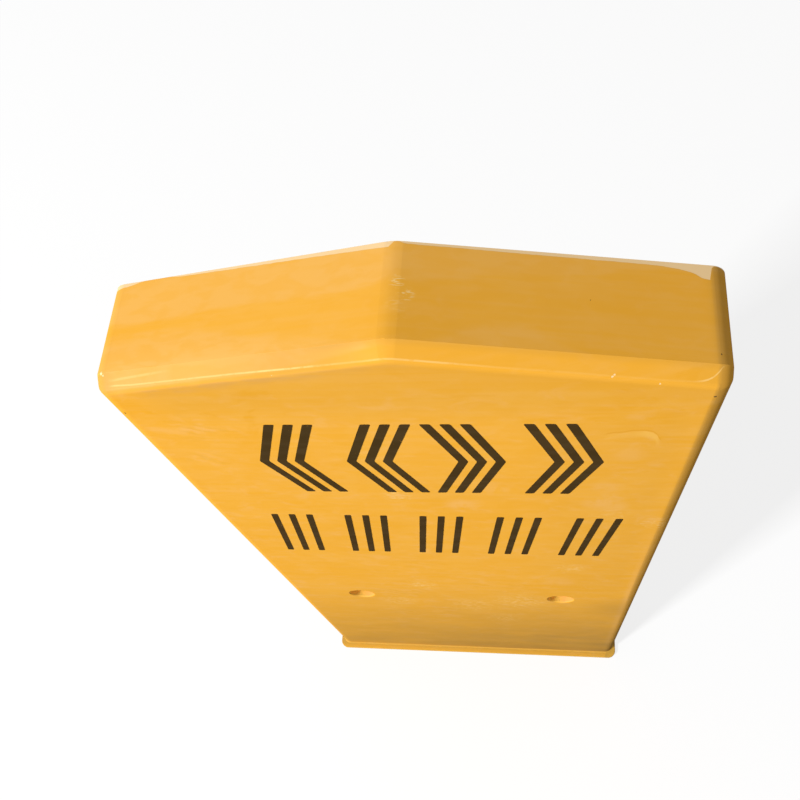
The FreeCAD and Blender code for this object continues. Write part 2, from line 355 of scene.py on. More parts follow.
# %% Places of the small marks
CHAFES = [
    ((4.9, 18.6, 1049.6), 2, 8, 0.8), ((12.2, 7.7, 1048.4), 3, 8, 0.8),
    ((4.1, -0.8, 1049.7), 2, 9, 0.24), ((9, -9, 1049), 2, 8, 0.2), ((-30.8, -45, 775.8), 3, 22, 0.5),
    ((-46, -45, 434), 4, 30, 0.6), ((-92.3, -45, 343.3), 5, 40, 0.4),
    ((88, -45, 358), 8, 56, 0.45), ((151.7, -45, 533.6), 3, 24, 0.55),
    ((186, -45, 728), 5, 30, 0.2), ((232, -45, 706), 4, 26, 0.35), ((60, -45, 250), 5, 40, 0.3),
    ((20, -45, 330), 5, 60, 0.3)]
CHIPS = [
    ((-241.4, -31, 1006), 1.5), ((-239.8, -33, 1005.4), 0.9), ((161.2, -43, 1012.4), 1.0),
    ((162.6, -42, 1013), 0.8), ((195.6, -44.5, 1003.7), 0.8), ((-91, -44.5, 1022.8), 0.5)]
SPECKS = [
    ((146.2, 15.2, 1024.0), 0.42), ((239.3, -22.6, 1006.9), 0.8), ((237.6, -44.9, 984), 1.2),
    ((-238.5, -44.7, 962.8), 1.1)]
SMEARS = [
    ((-31, -45, 776), 3, 12, 0.8), ((31, -45, 752), 5, 22, 0.65), ((-176, -45, 930), 3, 16, 0.5),
    ((-234, -45, 879), 1, 7, 0.9), ((200, -45, 914), 1, 9, 0.8), ((188, -45, 880), 4, 20, 0.45),
    ((172, -45, 762), 5, 24, 0.6), ((175, -45, 803), 5, 20, 0.4),
    ((179, -45, 778), 5, 20, 0.5), ((184, -45, 752), 5, 22, 0.5), ((221, -45, 715), 5, 20, 0.5),
    ((-88, -45, 560), 4, 20, 0.4), ((62, -45, 800), 5, 26, 0.4), ((140, -45, 470), 6, 30, 0.4)]
print(len(CHAFES), "chafed spots,", len(CHIPS), "chips,", len(SPECKS), "specks,", len(SMEARS), "smears")

# %% [markdown]
# A patch is the nearness to its place. Stretched noise breaks the chafed spots up, so that they read
# as many short scratches, and gives the smears torn edges. Chips and specks are so small that it is
# enough to shift their outlines a little.

# %% Helpers for small marks
def patches(tree, place, table):
    """The strongest of several patches, each with its own place, two distances and strength."""
    total = 0.0
    for spot, inner, outer, strength in table:
        patch = calc(tree, "MULTIPLY", near(tree, place, spot, inner, outer), strength)
        total = calc(tree, "MAXIMUM", patch, total)
    return total


def chafed(tree, place):
    """Short pale scratches, gathered in a few spots."""
    lines = streaks(tree, place, (130.0, 560.0, 380.0), (0.0, 0.0, 0.0), detail=6.0, distortion=0.5)
    return both(tree, mask(tree, lines, 0.48, 0.62), patches(tree, place, CHAFES))


def smeared(tree, place):
    """Soft pale patches with torn edges."""
    torn = streaks(tree, place, (60.0, 60.0, 34.0), (0.1, 0.0, 0.4), detail=5.0)
    return both(tree, mask(tree, torn, 0.38, 0.56), patches(tree, place, SMEARS))


def spots_of(tree, place, table):
    """1 on small spots with uneven outlines."""
    uneven = calc(tree, "SUBTRACT", cloud(tree, place, 700.0, 2.0), 0.5)
    shift = node(tree, "ShaderNodeCombineXYZ", {
        axis: calc(tree, "MULTIPLY", uneven, 1.6 * MM) for axis in ("X", "Y", "Z")})
    moved = node(tree, "ShaderNodeVectorMath", {0: place, 1: shift.outputs[0]}, operation="ADD")
    total = 0.0
    for spot, size in table:
        covered = near(tree, moved.outputs["Vector"], spot, size * 0.7, size)
        total = calc(tree, "MAXIMUM", covered, total)
    return total


print("mark helpers ready")

# %% [markdown]
# Inside, the tray is bare laminate: chopped glass strands in resin, matt and a little rough, with no
# gelcoat. The same goes for the trimmed underside of the foot. The sleeves were lined with gelcoat
# in the mould, so their bores stay yellow. Position tells one from the other, because the inside lies
# behind the middle of the wall, below the roof and outside the bores.

# %% Where the laminate is bare
INSIDE = WALL * 0.7
LINING = BORE_RADIUS + 2 * MM
BEVEL_SLANT = math.atan2(BEVEL_DROP, BEVEL_BACK)
FLARE_TOP = 2.2 * MM
FLARE_REACH = 2.8 * MM
SOLE = 0.2 * MM


def under_edge(tree, first, second):
    """Depth under the rounded edge between two faces, from the depth under each face."""
    short = [calc(tree, "MAXIMUM", calc(tree, "SUBTRACT", EDGE_ROUND, depth), 0.0)
             for depth in (first, second)]
    squares = [calc(tree, "MULTIPLY", side, side) for side in short]
    away = calc(tree, "SQRT", calc(tree, "ADD", squares[0], squares[1]))
    return calc(tree, "SUBTRACT", EDGE_ROUND, away)


def bare_inside(tree, x, y, z):
    """1 on the surfaces of the hollow and under the foot, 0 on the outside."""
    across, to_roof = under_walls(tree, x, z)
    to_front = calc(tree, "SUBTRACT", y, FRONT)
    behind_bevel = calc(tree, "SUBTRACT", to_front, BEVEL_BACK)
    to_bevel = calc(tree, "MULTIPLY_ADD", behind_bevel, math.sin(BEVEL_SLANT),
                    calc(tree, "MULTIPLY", to_roof, math.cos(BEVEL_SLANT)))
    deep = under_edge(tree, across, to_front)
    for ceiling in (to_roof, to_bevel):
        deep = calc(tree, "MINIMUM", deep, under_edge(tree, across, ceiling))
    in_hollow = calc(tree, "GREATER_THAN", deep, INSIDE)
    walls = calc(tree, "MINIMUM", across, to_front)
    before_panel = calc(tree, "LESS_THAN", y, SEAM + 1 * MM)
    past_lining = calc(tree, "GREATER_THAN", from_bore(tree, x, z), LINING)
    hollow = both(tree, in_hollow, before_panel, past_lining)
    low = calc(tree, "LESS_THAN", z, FLARE_TOP)
    flare = both(tree, low, calc(tree, "GREATER_THAN", walls, -FLARE_REACH))
    sole = calc(tree, "LESS_THAN", z, SOLE)
    return calc(tree, "MAXIMUM", calc(tree, "MAXIMUM", hollow, flare), sole)


print(f"inside starts {INSIDE * 1000:.1f} mm under the surface")

# %% [markdown]
# Where the bevel meets the front face, a thin pale line is painted on as a highlight, strongest on
# the left half and nearly gone towards the right eave, where a short arc of it turns up round the
# corner. Tables give its strength and how far behind the front face it runs. A second, shorter
# painted highlight lies above it at the left end. A strip of mesh would stand out where the line has
# no thickness, so both are colour.

# %% Painted highlight lines along the bevel
# The lines are painted highlights.
LINE_STRENGTH = [
    (-260, 0.0), (-236, 0.0), (-229, 0.7), (-185, 0.58), (-140, 0.68), (-120, 0.65), (-95, 0.95),
    (-80, 0.85), (-50, 0.45), (-35, 0.28), (-20, 0.36), (-8, 0.55), (12, 0.52), (30, 0.66),
    (52, 0.46), (64, 0.28), (80, 0.18), (110, 0.14), (160, 0.12), (205, 0.1), (222, 0.2),
    (228, 0.75), (237, 0.75), (241, 0.0), (260, 0.0)]
LINE_BACK = [
    (-260, 5.0), (-229, 4.7), (-215, 4.0), (-151, 3.8), (-67, 2.8), (-20, 2.2), (0, 2.2), (200, 2.4),
    (220, 2.8), (226, 3.5), (230, 4.6), (234, 6.6), (237, 9.2), (240, 13.0), (260, 15.0)]
LINE_HALF = 0.75
UPPER_STRENGTH = [(-260, 0.0), (-236, 0.0), (-226, 0.45), (-200, 0.4), (-175, 0.0), (260, 0.0)]
UPPER_BACK = [(-260, 8.0), (-232, 8.3), (-186, 10.2), (-150, 10.4), (260, 10.4)]
UPPER_HALF = 1.2
LINE_WOBBLE = 0.8 * MM


def highlight_line(tree, place, x, y, strengths, backs, half):
    """A mask of one thin painted highlight along the bevel, half as wide as said in millimetres."""
    wobble = calc(tree, "SUBTRACT", streaks(tree, place, (16.0, 0.0, 0.0), (0.2, 0.0, 0.0)), 0.5)
    behind = calc(tree, "SUBTRACT", calc(tree, "SUBTRACT", y, FRONT),
                  width_across(tree, x, backs, 15))
    away = calc(tree, "ABSOLUTE", calc(tree, "MULTIPLY_ADD", wobble, LINE_WOBBLE, behind))
    line = mask(tree, away, half * MM, 0.3 * MM)
    strength = calc(tree, "DIVIDE", width_across(tree, x, strengths, 1), MM)
    broken = mask(tree, cloud(tree, place, 160.0, 4.0), 0.20, 0.50)
    return both(tree, line, strength, broken)


def highlight_lines(tree, place, x, y, on_top):
    """Both painted highlight lines, kept to the top of the post."""
    lower = highlight_line(tree, place, x, y, LINE_STRENGTH, LINE_BACK, LINE_HALF)
    upper = highlight_line(tree, place, x, y, UPPER_STRENGTH, UPPER_BACK, UPPER_HALF)
    return both(tree, calc(tree, "MAXIMUM", lower, upper), on_top)


print("the worn line's place is set at", len(LINE_BACK), "places")

# %% [markdown]
# Under the roof's right end a hairline crack bends across the face, and the gelcoat below it has come
# loose and turned pale. It could be cut into the mesh, but a hairline has no width to cut. The crack
# is a curve node again: it gives the crack's height at each place across the post.

# %% The crack
CRACK_BASE = 900 * MM
CRACK = [
    (-260, 20), (162, 20), (168, 23), (178, 24.5), (184, 27.5), (195, 28), (201, 25.5), (205, 20.5),
    (208, 12), (210, 8), (260, 0)]
CRACK_FIRST = 162 * MM
CRACK_LAST = 211 * MM


def crack(tree, x, z):
    """Two masks: the hairline itself, and the loose gelcoat under it."""
    line = calc(tree, "ADD", width_across(tree, x, CRACK, 30), CRACK_BASE)
    under = calc(tree, "SUBTRACT", line, z)
    span = both(tree, mask(tree, x, CRACK_FIRST, CRACK_FIRST + 4 * MM),
                mask(tree, x, CRACK_LAST, CRACK_LAST - 3 * MM))
    hairline = both(tree, mask(tree, calc(tree, "ABSOLUTE", under), 1.8 * MM, 0.4 * MM), span)
    stronger = calc(tree, "MULTIPLY_ADD", mask(tree, x, 184 * MM, 199 * MM), 0.65, 0.35)
    loose = both(tree, mask(tree, under, 0.5 * MM, 3 * MM), mask(tree, under, 16 * MM, 7 * MM),
                 mask(tree, x, CRACK_FIRST, CRACK_FIRST + 8 * MM),
                 mask(tree, x, CRACK_LAST - 1 * MM, CRACK_LAST - 6 * MM), stronger)
    return hairline, loose


print("crack set at", len(CRACK), "places")

# %% [markdown]
# In a few spots on the face the brush left faint ripples in the gelcoat. A wave texture with a strong
# distortion draws them, turned so that they lie at a slant. Only the crests and the troughs are used,
# as two masks, because the slopes between them have the colour of the rest.

# %% Brush ripples
RIPPLE_TURN = math.radians(32)
RIPPLES = [
    ((-178, -45, 931), 10, 42, 1.0), ((-201, -45, 865), 6, 30, 0.7), ((-75, -45, 390), 20, 90, 0.8),
    ((-20, -45, 300), 20, 80, 0.7), ((110, -45, 340), 15, 70, 0.6), ((-130, -45, 560), 15, 60, 0.3),
    ((150, -45, 250), 15, 60, 0.4), ((-110, -45, 250), 15, 70, 0.6), ((50, -45, 430), 15, 80, 0.5),
    ((-60, -45, 520), 15, 80, 0.4)]


def rippled(tree, place):
    """Faint wavy lines, gathered in a few spots: their pale crests and their darker troughs."""
    turned = node(tree, "ShaderNodeMapping", {
        "Vector": place, "Rotation": (0.0, -RIPPLE_TURN, 0.0), "Scale": (0.6, 1.0, 1.0)})
    waves = node(tree, "ShaderNodeTexWave", {
        "Vector": turned.outputs["Vector"], "Scale": 22.0, "Distortion": 12.0, "Detail": 4.0,
        "Detail Scale": 1.8}, bands_direction="Z")
    patchy = mask(tree, streaks(tree, place, (20.0, 20.0, 34.0), (0.6, 0.0, 0.2)), 0.42, 0.60)
    crests = mask(tree, waves.outputs["Fac"], 0.50, 0.95)
    troughs = mask(tree, waves.outputs["Fac"], 0.40, 0.05)
    spots = patches(tree, place, RIPPLES)
    return both(tree, crests, spots, patchy), both(tree, troughs, spots, patchy)


print(len(RIPPLES), "rippled spots")

# %% [markdown]
# Gelcoat is a coloured resin that was brushed into the mould before the glass, so its colour is even
# but not flat: it clouds a little, fine streaks run across it, and a film of dirt thickens towards
# the ground. An image could show all that, but it would be flat and would have to be unwrapped, so the
# finish is built up from masks and plain colours: first the clouds, streaks and chalky bands, then
# dirt, scratches and chips, and last the bared laminate. These are the colours of the layers.

# %% Colours of the gelcoat
GELCOAT = (0.885, 0.438, 0.052, 1.0)
GELCOAT_DEEP = (0.868, 0.410, 0.032, 1.0)
GELCOAT_RICH = (0.850, 0.392, 0.022, 1.0)
GELCOAT_CHALKY = (0.880, 0.466, 0.102, 1.0)
BLOOM = (0.890, 0.478, 0.128, 1.0)
CHAFE = (0.945, 0.645, 0.250, 1.0)
CRACK_TONE = (0.740, 0.325, 0.024, 1.0)
LOOSE = (0.940, 0.520, 0.092, 1.0)
PAINTED_SHEEN = (0.930, 0.515, 0.125, 1.0)
# A painted highlight colour for the thin lines along the bevel.
PAINTED_HIGHLIGHT = (0.920, 0.585, 0.190, 1.0)
# One dark colour: the darkening low down, and painted shade at the edges, on the bevel and in corners.
DARK_FILM_COLOUR = (0.330, 0.190, 0.050, 1.0)
SCUFF = (0.610, 0.345, 0.130, 1.0)
DUST = (0.450, 0.400, 0.085, 1.0)
DIRT = (0.100, 0.062, 0.024, 1.0)
# The bores' two tones are painted light and shade: paler on the side in shade, deeper on the lit side.
BORE_SHADED_SIDE_PALE = (0.985, 0.640, 0.110, 1.0)
BORE_LIT_SIDE_DEEP = (0.910, 0.445, 0.108, 1.0)
LAMINATE = (0.920, 0.645, 0.332, 1.0)
LAMINATE_DEEP = (0.640, 0.430, 0.190, 1.0)
print("gelcoat base colour", GELCOAT[:3])

# %% [markdown]
# Clouds, blotches and fine streaks come from the brush and from years of weather. They run across the
# post on the walls and along the slope on the roof, so each is noise that is stretched that way.

# %% Clouds, blotches and streaks
def face_clouds(tree, place):
    """Broad clouds, drawn out a little across the post."""
    return mask(tree, streaks(tree, place, (7.0, 7.0, 11.0), (0.3, 0.1, 0.7), 4.0), 0.36, 0.68)


def blotches(tree, place, factors, shift, low, high):
    """Uneven patches of a few centimetres with broken edges."""
    return mask(tree, streaks(tree, place, factors, shift, 6.0, 0.8), low, high)


def fine_streaks(tree, place, on_roof):
    """Fine lines across the post, which follow the slope on the roof."""
    on_face = streaks(tree, place, (4.0, 4.0, 120.0), (0.2, 0.5, 0.1), 3.0)
    along_slope = streaks(tree, place, (5.0, 130.0, 0.0), (0.7, 0.0, 0.0), 3.0)
    made = node(tree, "ShaderNodeMix", {"Factor": on_roof}, data_type="FLOAT")
    connect(tree, made.inputs["A"], on_face)
    connect(tree, made.inputs["B"], along_slope)
    return mask(tree, made.outputs["Result"], 0.40, 0.64)


print("cloud and streak helpers ready")

# %% [markdown]
# The dark film is a thin layer of one colour. It darkens the walls towards the ground and to the right,
# and it is painted shade on the side edges, on the bevel and in the corners. Its thickness is a sum of
# soft slopes, and where two films meet the thicker one shows. The walls come first. A table gives the
# painted shade along the edges.

# %% The dark film on the walls and the painted shade on the edges
# The film along the side edges is painted shade, strongest on the right edge's rounding.
EDGE_SHADE = [
    (-260, 0.14), (-245, 0.14), (-236, 0.0), (90, 0.0), (160, 0.07), (215, 0.10), (230, 0.06),
    (235.2, 0.06), (236.6, 0.24), (238, 0.46), (240, 0.48), (243, 0.34), (247, 0.20), (260, 0.14)]
LOW_FILM = 0.31
LOW_FILM_UNEVEN = 0.50
LOW_FILM_TOP = 500 * MM
LOW_FILM_LEAN = 1.2
LOWEST_BAND_FILM = 0.10
RIGHT_PATCH = (246, -45, 335)
RIGHT_PATCH_FILM = 0.22


def darker_low_down(tree, place, x, z):
    """A darker film on the walls, thicker towards the ground and to the right."""
    height = mask(tree, z, LOW_FILM_TOP, 0.0)
    uneven = streaks(tree, place, (9.0, 9.0, 20.0), (0.9, 0.2, 0.4), 3.0)
    uneven = calc(tree, "MULTIPLY_ADD", uneven, LOW_FILM_UNEVEN, LOW_FILM)
    film = calc(tree, "MULTIPLY", height, uneven)
    film = calc(tree, "MULTIPLY", film, calc(tree, "MULTIPLY_ADD", x, LOW_FILM_LEAN, 1.0))
    film = calc(tree, "MULTIPLY_ADD", mask(tree, z, 100 * MM, 15 * MM), LOWEST_BAND_FILM, film)
    patch = near(tree, place, RIGHT_PATCH, 10, 85)
    film = calc(tree, "MULTIPLY_ADD", patch, RIGHT_PATCH_FILM, film)
    above_lip = mask(tree, z, 4 * MM, 8 * MM)
    return both(tree, film, above_lip)


def painted_shade_at_edge(tree, x, y, on_roof):
    """Painted shade on the side edges, thicker on the right, and wider on the face than on the roof."""
    film = calc(tree, "DIVIDE", width_across(tree, x, EDGE_SHADE, 1), MM)
    off_slope = calc(tree, "SUBTRACT", 1.0, on_roof)
    by_side = mask(tree, calc(tree, "ABSOLUTE", x), 230 * MM, 236 * MM)
    film = calc(tree, "MULTIPLY", film, calc(tree, "MAXIMUM", off_slope, by_side))
    return calc(tree, "MULTIPLY", film, mask(tree, y, REAR - 0.2 * MM, REAR - 0.6 * MM))


print("the film changes at", len(EDGE_SHADE), "places from edge to edge")

# %% [markdown]
# On the bevel the painted shade is thicker on the left half, and on the rest more of it lies against
# the crease. Painted shade also lies where the foot turns out and right under the bevel. The last
# helper joins all the films.

# %% Painted shade on the bevel and in the corners
# The film on the bevel and by its crease is painted shade.
BEVEL_SHADE = [
    (-260, 0.34), (-238, 0.34), (-228, 0.24), (-150, 0.22), (-110, 0.28), (-80, 0.34), (-45, 0.28),
    (-15, 0.12), (20, 0.08), (200, 0.08), (232, 0.14), (260, 0.14)]
CREASE_SHADE = 0.13
# Painted shade where the foot turns out and right under the bevel.
FOOT_SHADE = 0.40
UNDER_BEVEL_SHADE = 0.12


def painted_shade_on_bevel(tree, x, y, z):
    """Painted shade on the bevel, thicker on its left half, and by the crease on the rest."""
    behind = calc(tree, "SUBTRACT", y, FRONT)
    band = both(tree, mask(tree, behind, -0.5 * MM, 1.5 * MM),
                mask(tree, behind, BEVEL_BACK + 0.15 * MM, BEVEL_BACK - 0.25 * MM),
                mask(tree, z, EAVE - 14 * MM, EAVE - 10 * MM))
    film = calc(tree, "DIVIDE", width_across(tree, x, BEVEL_SHADE, 1), MM)
    at_crease = both(tree, mask(tree, behind, BEVEL_BACK - 5 * MM, BEVEL_BACK),
                     mask(tree, x, -80 * MM, -30 * MM))
    return both(tree, band, calc(tree, "MULTIPLY_ADD", at_crease, CREASE_SHADE, film))


def painted_shade_in_corners(tree, x, y, z):
    """Painted shade where the foot turns out, and a thin painted shade on the face right under the
    bevel.
    """
    at_foot = both(tree, mask(tree, z, 14 * MM, 9 * MM),
                   mask(tree, y, FRONT - 9 * MM, FRONT - 0.5 * MM))
    under_bevel = both(tree, mask(tree, z, EAVE - 80 * MM, EAVE - 18 * MM),
                       mask(tree, y, FRONT + 1.5 * MM, FRONT + 0.5 * MM),
                       mask(tree, x, -235 * MM, -180 * MM))
    return calc(tree, "MAXIMUM", calc(tree, "MULTIPLY", at_foot, FOOT_SHADE),
                calc(tree, "MULTIPLY", under_bevel, UNDER_BEVEL_SHADE))


def dark_films(tree, place, x, y, z, on_roof):
    """The thickest of all the dark films: darker low down, painted shade at the edges, bevel and
    corners.
    """
    film = calc(tree, "MAXIMUM", darker_low_down(tree, place, x, z),
                painted_shade_at_edge(tree, x, y, on_roof))
    film = calc(tree, "MAXIMUM", film, painted_shade_on_bevel(tree, x, y, z))
    return calc(tree, "MAXIMUM", film, painted_shade_in_corners(tree, x, y, z))


print("the bevel's film changes at", len(BEVEL_SHADE), "places")

# %% [markdown]
# Two places remain: a torn, dusty scuff under the left half of the bevel, and a paler start of
# the right front edge. Both are soft boxes, which are the product of a mask for each side.

# %% A scuff and a pale edge
SCUFF_SHARE = 0.10
SCUFF_TORN_SHARE = 0.28
PALE_EDGE_SHARE = 0.45


def scuff_under_bevel(tree, place, x, y, z):
    """Torn, dusty scuffs where the bevel runs into the face, mostly on the left half."""
    below = under_walls(tree, x, z)[1]
    band = both(tree, mask(tree, below, 10.0 * MM, 12.5 * MM), mask(tree, below, 26 * MM, 13 * MM),
                mask(tree, y, FRONT + 2.0 * MM, FRONT + 0.8 * MM))
    span = both(tree, mask(tree, x, -232 * MM, -205 * MM), mask(tree, x, 60 * MM, -90 * MM))
    torn = mask(tree, streaks(tree, place, (40.0, 0.0, 150.0), (0.1, 0.0, 0.0)), 0.35, 0.60)
    share = calc(tree, "MULTIPLY_ADD", torn, SCUFF_TORN_SHARE, SCUFF_SHARE)
    return both(tree, band, span, share)


def pale_front_edge(tree, x, y, z):
    """A paler strip at the start of the right front edge, below the middle."""
    return both(tree, mask(tree, x, 227 * MM, 234 * MM), mask(tree, x, 240 * MM, 236 * MM),
                mask(tree, z, 760 * MM, 380 * MM), mask(tree, z, 40 * MM, 90 * MM),
                mask(tree, y, FRONT + 6 * MM, FRONT + 2 * MM), PALE_EDGE_SHARE)


print("helpers for rubbed places ready")

# %% [markdown]
# Raw laminate shows the chopped glass strands that it was laid up from. Two noises that are stretched
# across each other give flakes that cross at random, and the same mask raises them a little.

# %% Raw laminate
def laminate_colour(tree, place):
    """Chopped strands in resin: pale flakes that cross each other at random."""
    first = streaks(tree, place, (60.0, 260.0, 260.0), (0.0, 0.0, 0.0), 3.0, 2.0)
    second = streaks(tree, place, (260.0, 60.0, 60.0), (0.5, 0.3, 0.0), 3.0, 2.0)
    strands = mask(tree, calc(tree, "MAXIMUM", first, second), 0.50, 0.72)
    return cover(tree, strands, LAMINATE_DEEP, LAMINATE), strands


print("laminate colour", LAMINATE[:3])

# %% [markdown]
# The walls, the roof, the bevel and the foot don't weather alike. One mask for each of them, made
# once, lets every layer ask where it is. On the left the roof's mask takes in the bevel. On the right
# it starts behind the bevel, which keeps its clean yellow there.

# %% Masks for the parts of the post
CHALK_START = [(-260, 1.5), (-120, 1.5), (-60, 5), (0, 11), (30, 14), (260, 14)]


def parts_of_post(tree, x, y, z):
    """Masks for all that is high up, the roof, the post's top, the foot and the flat front."""
    high_up = mask(tree, z, EAVE - 14 * MM, EAVE - 2 * MM)
    past_start = calc(tree, "SUBTRACT", calc(tree, "SUBTRACT", y, FRONT),
                      width_across(tree, x, CHALK_START, 15))
    return {
        "high_up": high_up,
        "roof": both(tree, high_up, mask(tree, past_start, -1.5 * MM, 1.5 * MM)),
        "top": mask(tree, z, EAVE - 20 * MM, EAVE - 14 * MM),
        "foot": mask(tree, z, 8 * MM, 4 * MM),
        "front": mask(tree, y, FRONT + 1 * MM, FRONT + 0.3 * MM)}


print("the roof's chalk starts up to", max(start for _, start in CHALK_START), "mm behind the front")

# %% [markdown]
# The first layers are the gelcoat itself, with one painted sheen among them: clouds of a deeper
# yellow, richer blotches near the bevel and a rich tone on its right half, the chalky bands of the
# roof, a painted sheen behind the left crease, fine streaks, a pale bloom and a mottle over all. Each
# one is laid over the last, so the order matters.

# %% Layers of the gelcoat itself
CLOUD_SHARE = 0.6
STREAK_SHARE = 0.28
BEVEL_RICH_SHARE = 0.4
# A painted sheen behind the left crease, strongest at the left end.
PAINTED_SHEEN_SHARE = [
    (-260, 0.9), (-150, 0.9), (-100, 0.6), (-60, 0.3), (-30, 0.12), (-5, 0.0), (260, 0.0)]


def rich_share(tree, place, x, z, part):
    """How much of the rich yellow shows: in blotches on the walls, and on the bevel's right half."""
    rich = blotches(tree, place, (13.0, 13.0, 22.0), (0.5, 0.0, 0.3), 0.55, 0.66)
    near_bevel = mask(tree, z, EAVE - 130 * MM, EAVE - 30 * MM)
    rich = calc(tree, "MULTIPLY", rich, calc(tree, "MULTIPLY_ADD", near_bevel, 0.5, 0.3))
    on_bevel = both(tree, part["high_up"], mask(tree, x, -10 * MM, 40 * MM))
    rich = calc(tree, "MAXIMUM", rich, calc(tree, "MULTIPLY", on_bevel, BEVEL_RICH_SHARE))
    return calc(tree, "MULTIPLY", rich, calc(tree, "SUBTRACT", 1.0, part["roof"]))


def sheen_behind_crease(tree, x, y, part):
    """A painted sheen on the left slope, right behind the bevel's crease."""
    behind_crease = calc(tree, "SUBTRACT", y, FRONT + BEVEL_BACK)
    return both(tree, part["roof"], mask(tree, behind_crease, 22 * MM, -1 * MM),
                mask(tree, behind_crease, -0.25 * MM, 0.15 * MM),
                calc(tree, "DIVIDE", width_across(tree, x, PAINTED_SHEEN_SHARE, 1), MM))


def gelcoat_layers(tree, place, x, y, z, part, chalk):
    """The colour of the gelcoat before any dirt or wear, with a painted sheen behind the left crease.
    """
    clouds = calc(tree, "MULTIPLY", face_clouds(tree, place), CLOUD_SHARE)
    colour = cover(tree, clouds, GELCOAT, GELCOAT_DEEP)
    colour = cover(tree, rich_share(tree, place, x, z, part), colour, GELCOAT_RICH)
    chalk_share = calc(tree, "MULTIPLY_ADD", mask(tree, x, -8 * MM, 14 * MM), -0.35, 0.85)
    colour = cover(tree, calc(tree, "MULTIPLY", chalk, chalk_share), colour, GELCOAT_CHALKY)
    colour = cover(tree, sheen_behind_crease(tree, x, y, part), colour, PAINTED_SHEEN)
    fine = calc(tree, "MULTIPLY", fine_streaks(tree, place, part["roof"]), STREAK_SHARE)
    colour = cover(tree, fine, colour, GELCOAT_CHALKY)
    bloom = blotches(tree, place, (34.0, 60.0, 58.0), (0.2, 0.6, 0.9), 0.50, 0.70)
    bloom = calc(tree, "MULTIPLY", bloom, calc(tree, "MULTIPLY_ADD", part["high_up"], -0.26, 0.42))
    colour = cover(tree, bloom, colour, BLOOM)
    mottle = mask(tree, streaks(tree, place, (34.0, 80.0, 75.0), (0.0, 0.0, 0.0), 6.0), 0.42, 0.62)
    mottle = calc(tree, "MULTIPLY", mottle, calc(tree, "MULTIPLY_ADD", part["high_up"], -0.12, 0.45))
    return cover(tree, mottle, colour, GELCOAT_DEEP)


print("helpers for the gelcoat's own layers ready")

# %% [markdown]
# Next come the marks of use and the painted shade: ripples, smears, the loose gelcoat under the crack,
# the dark film, scuffs and dust on the foot. The dark film darkens the walls towards the ground and is
# painted shade at the edges, on the bevel and in the corners. The hairline lies over it, because it
# opened later.

# %% Layers of dirt and use
CREST_SHARE = 0.6
TROUGH_SHARE = 0.10
LOOSE_SHARE = 0.9
DUST_SHARE = 0.3
HAIRLINE_SHARE = 0.5


def used_layers(tree, place, x, y, z, part, dark_film, colour):
    """A colour under ripples, smears, loose gelcoat, the dark film and its painted shade, scuffs, the
    crack.
    """
    crests, troughs = rippled(tree, place)
    hairline, loose = crack(tree, x, z)
    colour = cover(tree, calc(tree, "MULTIPLY", crests, CREST_SHARE), colour, BLOOM)
    colour = cover(tree, calc(tree, "MULTIPLY", troughs, TROUGH_SHARE), colour, DARK_FILM_COLOUR)
    colour = cover(tree, both(tree, smeared(tree, place), part["front"]), colour, BLOOM)
    colour = cover(tree, both(tree, loose, part["front"], LOOSE_SHARE), colour, LOOSE)
    colour = cover(tree, pale_front_edge(tree, x, y, z), colour, BLOOM)
    colour = cover(tree, dark_film, colour, DARK_FILM_COLOUR)
    colour = cover(tree, scuff_under_bevel(tree, place, x, y, z), colour, SCUFF)
    colour = cover(tree, calc(tree, "MULTIPLY", part["foot"], DUST_SHARE), colour, DUST)
    return cover(tree, both(tree, hairline, part["front"], HAIRLINE_SHARE), colour, CRACK_TONE)


print("helper for dirt and use ready")

# %% [markdown]
# Last come the sharp marks: the chafed spots, the painted highlight lines, the specks and the bare
# laminate.
# The gelcoat in the bores has a clean tone of its own, painted paler on the side that lies in shade
# and deeper on the side that faces the light.

# %% Layers of wear and painted light
def bore_lining(tree, x, y, z):
    """Where the lining of a bore starts, and its colour, painted paler on the shaded side, deeper on
    the lit.
    """
    into_bore = both(tree, mask(tree, y, FRONT + 0.3 * MM, FRONT + 1.5 * MM),
                     mask(tree, from_bore(tree, x, z), LINING, BORE_RADIUS + 1 * MM))
    from_axis = calc(tree, "MULTIPLY_ADD", calc(tree, "SIGN", x), -BORE_ACROSS, x)
    lit_and_shaded_tone = cover(tree, mask(tree, from_axis, -6 * MM, 8 * MM), BORE_SHADED_SIDE_PALE, BORE_LIT_SIDE_DEEP)
    return into_bore, lit_and_shaded_tone


def wear_and_highlight_layers(tree, place, x, y, z, part, chafe, colour):
    """A colour under chafed spots and painted highlights, the bores' lining in painted light, the
    specks.
    """
    colour = cover(tree, chafe, colour, CHAFE)
    colour = cover(tree, highlight_lines(tree, place, x, y, part["top"]), colour, PAINTED_HIGHLIGHT)
    into_bore, lit_and_shaded_tone = bore_lining(tree, x, y, z)
    colour = cover(tree, into_bore, colour, lit_and_shaded_tone)
    return cover(tree, spots_of(tree, place, SPECKS), colour, DIRT)


print("helpers for wear ready")

# %% [markdown]
# A mirror-like gloss over the whole shader would wash the yellow out, so the body itself has no gloss
# and a thin clear coat carries it. That is close to the real thing, where the resin's own skin shines
# and the colour lies under it. The paint of the marks will use the same coat.

# %% Helpers that start a material and give it its gloss
COAT_IOR = 2.0


def new_material(name):
    """A material, its node tree, its shader and the place on the post."""
    material = bpy.data.materials.new(name)
    material.use_nodes = True
    tree = material.node_tree
    place = node(tree, "ShaderNodeTexCoord").outputs["Object"]
    return material, tree, tree.nodes["Principled BSDF"], place


